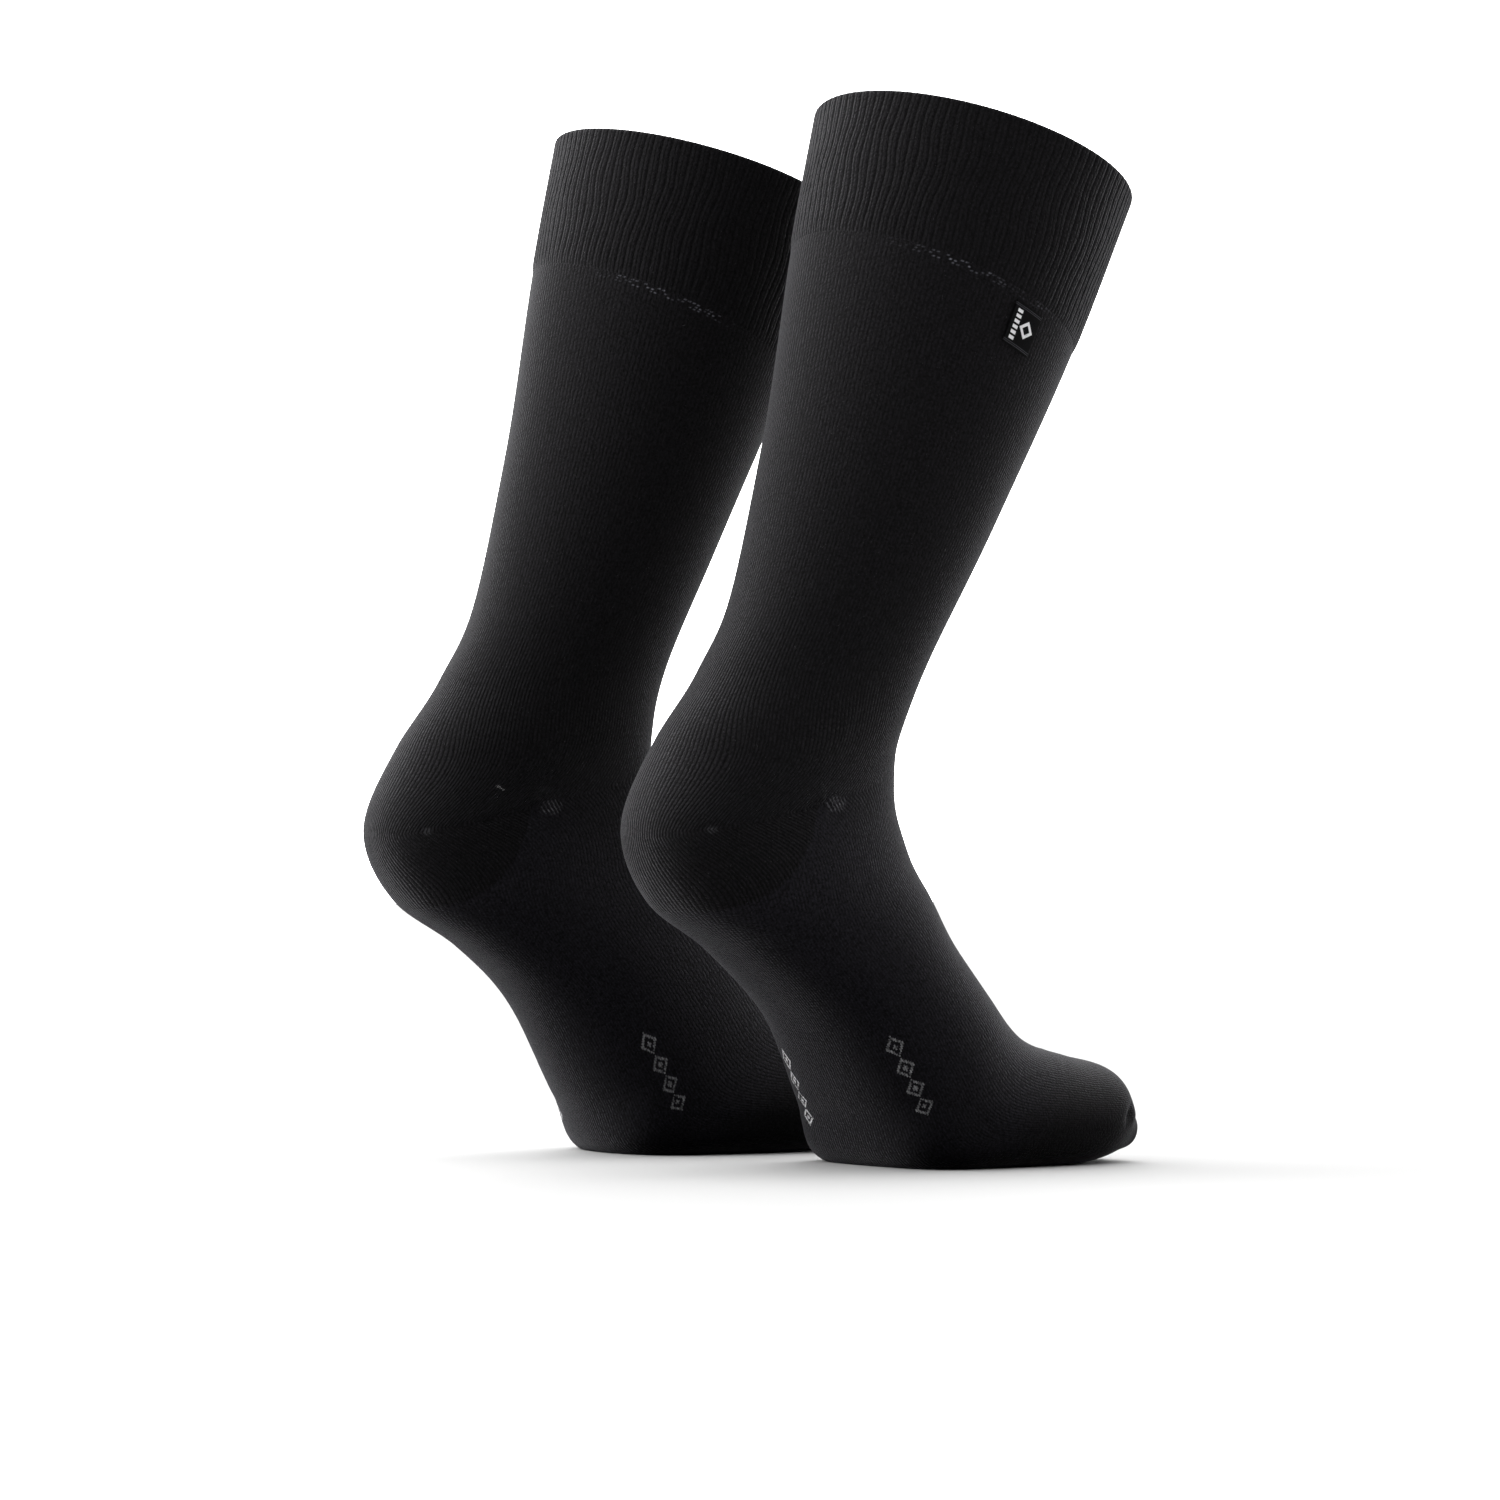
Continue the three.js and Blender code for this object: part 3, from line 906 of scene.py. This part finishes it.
@dataclass
class Cuff:
    """Ribbed cuff, folded double, whose rim is the rounded fold."""

    form: Form
    ribs: int = 100
    depth: float = 0.4
    proud: float = 0.15
    wall: float = 1.6
    per_rib: int = 6
    obj: bpy.types.Object | None = field(default=None, init=False)

    def profile(self) -> np.ndarray:
        """Places down the outside and up the inside, as row, distance out and rib depth."""
        inside = self.proud - self.wall
        middle = (self.proud + inside) / 2
        swell = self.wall / 2
        per_mm = 1 / CUFF_TALL
        stations = [(1.0, inside, 0.0), (1.0, -0.3, 0.0), (0.998, -0.05, 0.0), (0.988, 0.07, 0.1)]
        stations += [(0.965, 0.12, 0.5), (0.94, self.proud, 0.85)]
        stations += [(r, self.proud, 1.0) for r in np.linspace(0.91, 0.05, 32)]
        for a in np.linspace(0, math.pi, 9):
            row = swell * per_mm * (1.6 - 1.6 * math.sin(a))
            stations.append((row, middle + swell * math.cos(a), 0.5 + 0.5 * math.cos(a)))
        stations += [(r, inside, 0.25) for r in np.linspace(0.06, 0.98, 12)]
        stations.append((1.0, inside, 0.0))
        return np.array(stations)

    def rib(self, row: np.ndarray, turn: np.ndarray) -> np.ndarray:
        """Height of the ribs from 0 in a furrow to 1 on a crest."""
        return np.abs(np.cos(math.pi * self.ribs * self.wander(row, turn))) ** 0.6

    def wander(self, row: np.ndarray, turn: np.ndarray) -> np.ndarray:
        """Where round the cuff a place's rib began, as the ribs sway a little on their way down."""
        slow = np.sin(TAU * (5 * turn + 1.1 * row) + 0.5)
        quick = np.sin(TAU * (17 * turn - 2.3 * row) + 1.7)
        return turn + wobble(row, turn) + (0.0028 * slow + 0.0008 * quick) * np.sin(math.pi * row)

    def build(self) -> bpy.types.Object:
        """Makes the cuff from one grid wrapped round its profile."""
        side = self.form.stance.side.value
        profile = self.profile()
        steps = np.linspace(0, 1, len(profile))

        def at(v: np.ndarray) -> list[np.ndarray]:
            return [np.interp(v, steps, profile[:, k]) for k in range(3)]

        def place(u: np.ndarray, v: np.ndarray) -> np.ndarray:
            row, out, depth = at(v)
            turn = u % 1.0
            lift = self.depth * depth * self.rib(row, turn)
            return self.form.place(self.form.wall(row, turn, out + lift))

        def knit(u: np.ndarray, v: np.ndarray) -> np.ndarray:
            row, out, _ = at(v)
            down = row * CUFF_TALL + np.where(out < 0, 7.0, 0.0)
            return np.stack([self.wander(row, u), down], -1)

        def rib_field(u: np.ndarray, v: np.ndarray) -> np.ndarray:
            row, _, depth = at(v)
            return self.rib(row, u % 1.0) * depth + (1 - depth) * 0.7

        cells = len(profile) - 1
        mesh = mapped_grid(
            self.ribs * self.per_rib, cells, place, {"knit": knit}, {"rib": rib_field}
        )

        def finish(bm: bmesh.types.BMesh) -> None:
            bmesh.ops.remove_doubles(bm, verts=bm.verts, dist=2e-6)
            facing_out(bm)

        self.obj = join(f"sock_cuff_{side}", [mesh], finish)
        return self.obj

    def dress(self, finish: KnitFinish) -> None:
        """Gives the cuff its finish and says what it stands for."""
        side = self.form.stance.side.value
        self.obj.data.materials.append(finish.cuff_material())
        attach(self.obj, "root")
        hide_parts(f"cuff_{side}")


@dataclass
class Label:
    """Small woven label, sewn flat on the leg below the cuff."""

    form: Form
    row: float = 1.18
    turn: float = 0.77
    wide: float = 13.0
    tall: float = 16.0
    lift: float = 0.4
    thick: float = 0.7
    obj: bpy.types.Object | None = field(default=None, init=False)

    def build(self) -> bpy.types.Object:
        """Makes the label from a grid laid on the leg's form."""
        per_row, per_turn = self.form.spacing(self.row, self.turn, step=0.01)

        def place(u: np.ndarray, v: np.ndarray) -> np.ndarray:
            x, y = (u - 0.5) * self.wide, (v - 0.5) * self.tall
            edge = np.minimum(u, 1 - u) * self.wide
            curl = 0.35 * np.exp(-((edge / 1.2) ** 2))
            out = self.lift + self.thick * 0.5 + curl * (u < 0.5)
            row, turn = self.row + y / per_row, self.turn + x / per_turn
            return self.form.place(self.form.wall(row, turn, out))

        def chart(u: np.ndarray, v: np.ndarray) -> np.ndarray:
            return np.stack([(u - 0.5) * self.wide, (v - 0.5) * self.tall], -1)

        mesh = mapped_grid(40, 48, place, {"label": chart}, {})

        def finish(bm: bmesh.types.BMesh) -> None:
            facing_out(bm)
            bmesh.ops.solidify(bm, geom=bm.faces[:], thickness=self.thick * 0.6 * MM)
            facing_out(bm)

        self.obj = join("sock_label_right", [mesh], finish)
        return self.obj

    def dress(self, finish: LabelFinish) -> None:
        """Gives the label its finish and says what it stands for."""
        self.obj.data.materials.append(finish.material(self.wide, self.tall))
        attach(self.obj, "root")
        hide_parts("label_right")


@dataclass
class Fuzz:
    """Loose fibres that stand off the knit."""

    form: Form
    count: int = 5000
    width: float = 0.05
    steps: int = 4
    obj: bpy.types.Object | None = field(default=None, init=False)

    def build(self) -> bpy.types.Object:
        """Makes the fibres as narrow strips, cut out of one grid."""
        side = self.form.stance.side.value
        rng = np.random.default_rng(7 if side == "right" else 8)
        count = self.count
        root_row = rng.uniform(0.05, 13.6, count)
        root_turn = rng.uniform(0, 1, count)
        heading = rng.uniform(0, TAU, count)
        length = rng.uniform(0.8, 2.6, count)
        lift = rng.uniform(0.15, 0.9, count)
        bend = rng.normal(0, 1.2, count)

        def place(u: np.ndarray, v: np.ndarray) -> np.ndarray:
            column = np.rint(u * (2 * count - 1)).astype(int)
            i, edge = column // 2, (column % 2) - 0.5
            along = v * length[i]
            ahead = heading[i] + bend[i] * v
            x = along * np.cos(ahead) - edge * self.width * np.sin(ahead)
            y = along * np.sin(ahead) + edge * self.width * np.cos(ahead)
            row, turn = root_row[i] + y / ROW_TALL, (root_turn[i] + x / GIRTH) % 1.0
            out = 0.3 + length[i] * lift[i] * v * v
            return self.form.place(self.form.wall(row, turn, out))

        mesh = mapped_grid(2 * count - 1, self.steps, place, {}, {})

        def finish(bm: bmesh.types.BMesh) -> None:
            between = [f for f in bm.faces if max(e.calc_length() for e in f.edges) > 4 * MM]
            bmesh.ops.delete(bm, geom=between, context="FACES_ONLY")
            loose = [e for e in bm.edges if not e.link_faces]
            bmesh.ops.delete(bm, geom=loose, context="EDGES")

        self.obj = join(f"sock_fuzz_{side}", [mesh], finish)
        return self.obj

    def dress(self, finish: KnitFinish) -> None:
        """Gives the fibres their finish."""
        self.obj.data.materials.append(finish.fibre_material())
        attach(self.obj, "root")


@dataclass(frozen=True)
class SoftBox:
    """A soft light by its place to the right of, behind and above the socks, and its size."""

    name: str
    aside: float
    away: float
    up: float
    size: tuple[float, float]
    watts: float


@dataclass
class Studio:
    """White floor and surround, a soft light and the photograph's camera."""

    photo_px: float = 1500.0
    focal_px: float = 5640.0
    azimuth: float = 32.0
    pitch: float = 1.27
    distance: float = 2.0
    height: float = 0.108
    shift_px: tuple[float, float] = (-17.0, -10.0)
    behind: float = 4.4
    above: float = 1.4
    from_left: float = 12.0
    aim_ahead: float = 60.0
    floor_half: float = 12.0
    boxes: tuple[SoftBox, ...] = (
        SoftBox("box_left", -0.62, 0.0, 0.55, (0.45, 0.45), 5.0),
    )

    def camera(self) -> None:
        """Places the camera where the photograph was taken from."""
        data = bpy.data.cameras.new("camera")
        data.sensor_width = SENSOR
        data.lens = self.focal_px / self.photo_px * SENSOR
        data.shift_x = -self.shift_px[0] / self.photo_px
        data.shift_y = self.shift_px[1] / self.photo_px
        data.clip_end = 50.0
        cam = bpy.data.objects.new("camera", data)
        bpy.context.scene.collection.objects.link(cam)
        a = math.radians(self.azimuth)
        away = Vector((math.cos(a), -math.sin(a), 0.0))
        target = Vector((PAIR_AT[0] * MM, (PAIR_AT[1] - self.aim_ahead) * MM, 0.0))
        cam.location = target - away * self.distance
        cam.location.z = self.height
        look = away * math.cos(math.radians(self.pitch))
        look.z = math.sin(math.radians(self.pitch))
        cam.rotation_mode = "QUATERNION"
        cam.rotation_quaternion = look.to_track_quat("-Z", "Y")
        bpy.context.scene.camera = cam

    def floor(self) -> None:
        """A wide pale floor, which throws less light back up close to the socks."""
        bm = bmesh.new()
        bmesh.ops.create_grid(bm, x_segments=1, y_segments=1, size=self.floor_half)
        mesh = bpy.data.meshes.new("floor")
        bm.to_mesh(mesh)
        bm.free()
        obj = bpy.data.objects.new("floor", mesh)
        bpy.context.scene.collection.objects.link(obj)
        g = Graph("floor_white")
        seen = g.node("ShaderNodeLightPath").outputs["Is Camera Ray"]
        where = g.node("ShaderNodeTexCoord").outputs["Object"]
        away = g.node("ShaderNodeVectorMath", {0: where}, operation="LENGTH").outputs["Value"]
        bounce = g.mix(g.smooth(away, 0.12, 0.5), linear("#4a4a4a"), linear("#d0d0d0"))
        g.link(g.mix(seen, bounce, linear("#acacac")), "Base Color")
        g.shader.inputs["Roughness"].default_value = 0.8
        g.shader.inputs["Specular IOR Level"].default_value = 0.1
        mesh.materials.append(g.material)

    def surround(self) -> None:
        """A white surround, bright behind and above the socks and dim on the camera's side."""
        world = bpy.data.worlds.new("studio")
        world.use_nodes = True
        tree = world.node_tree
        back = tree.nodes["Background"]
        towards = tree.nodes.new("ShaderNodeTexCoord").outputs["Generated"]
        b = math.radians(self.azimuth - self.from_left)
        total = tree.nodes.new("ShaderNodeMath")
        lobes = (
            ((math.cos(b), -math.sin(b), 0.0), -0.25, 0.8, self.behind),
            ((0.0, 0.0, 1.0), 0.3, 0.9, self.above),
        )
        for place, (axis, low, high, strength) in enumerate(lobes):
            dot = tree.nodes.new("ShaderNodeVectorMath")
            dot.operation = "DOT_PRODUCT"
            dot.inputs[1].default_value = axis
            tree.links.new(towards, dot.inputs[0])
            step = tree.nodes.new("ShaderNodeMapRange")
            step.interpolation_type = "SMOOTHSTEP"
            tree.links.new(dot.outputs["Value"], step.inputs[0])
            for index, value in enumerate((low, high, 0.0, strength), 1):
                step.inputs[index].default_value = value
            tree.links.new(step.outputs[0], total.inputs[place])
        seen = tree.nodes.new("ShaderNodeLightPath").outputs["Is Camera Ray"]
        most = tree.nodes.new("ShaderNodeMath")
        most.operation = "MAXIMUM"
        tree.links.new(total.outputs[0], most.inputs[0])
        tree.links.new(seen, most.inputs[1])
        tree.links.new(most.outputs[0], back.inputs["Strength"])
        back.inputs["Color"].default_value = (1.0, 1.0, 1.0, 1.0)
        bpy.context.scene.world = world
        bpy.context.scene.view_settings.view_transform = "Standard"

    def lights(self) -> None:
        """The soft boxes, turned towards the middle of the legs."""
        a = math.radians(self.azimuth)
        away = Vector((math.cos(a), -math.sin(a), 0))
        right = Vector((-math.sin(a), -math.cos(a), 0))
        centre = Vector((0, 0, 0.2))
        for box in self.boxes:
            data = bpy.data.lights.new(box.name, "AREA")
            data.shape = "RECTANGLE"
            data.size, data.size_y = box.size
            data.energy = box.watts
            obj = bpy.data.objects.new(box.name, data)
            obj.location = right * box.aside + away * box.away + Vector((0, 0, box.up))
            obj.rotation_mode = "QUATERNION"
            obj.rotation_quaternion = (centre - obj.location).to_track_quat("-Z", "Y")
            bpy.context.scene.collection.objects.link(obj)

    def build(self) -> None:
        """Sets up the floor, lights and camera."""
        self.floor()
        self.surround()
        self.lights()
        self.camera()


def main() -> None:
    """Builds both socks and the studio."""
    logging.basicConfig(level=logging.INFO, format="%(message)s")
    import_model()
    knit, woven = KnitFinish(), LabelFinish()
    for stance in STANCES:
        form = Form(stance)
        parts = [(Tube(form), knit), (Cuff(form), knit), (Fuzz(form), knit)]
        if stance.side is Side.RIGHT:
            parts.append((Label(form), woven))
        for part, finish in parts:
            made = part.build()
            part.dress(finish)
            LOG.info("%s: %d faces", made.name, len(made.data.polygons))
    Studio().build()


if __name__ == "__main__":
    main()
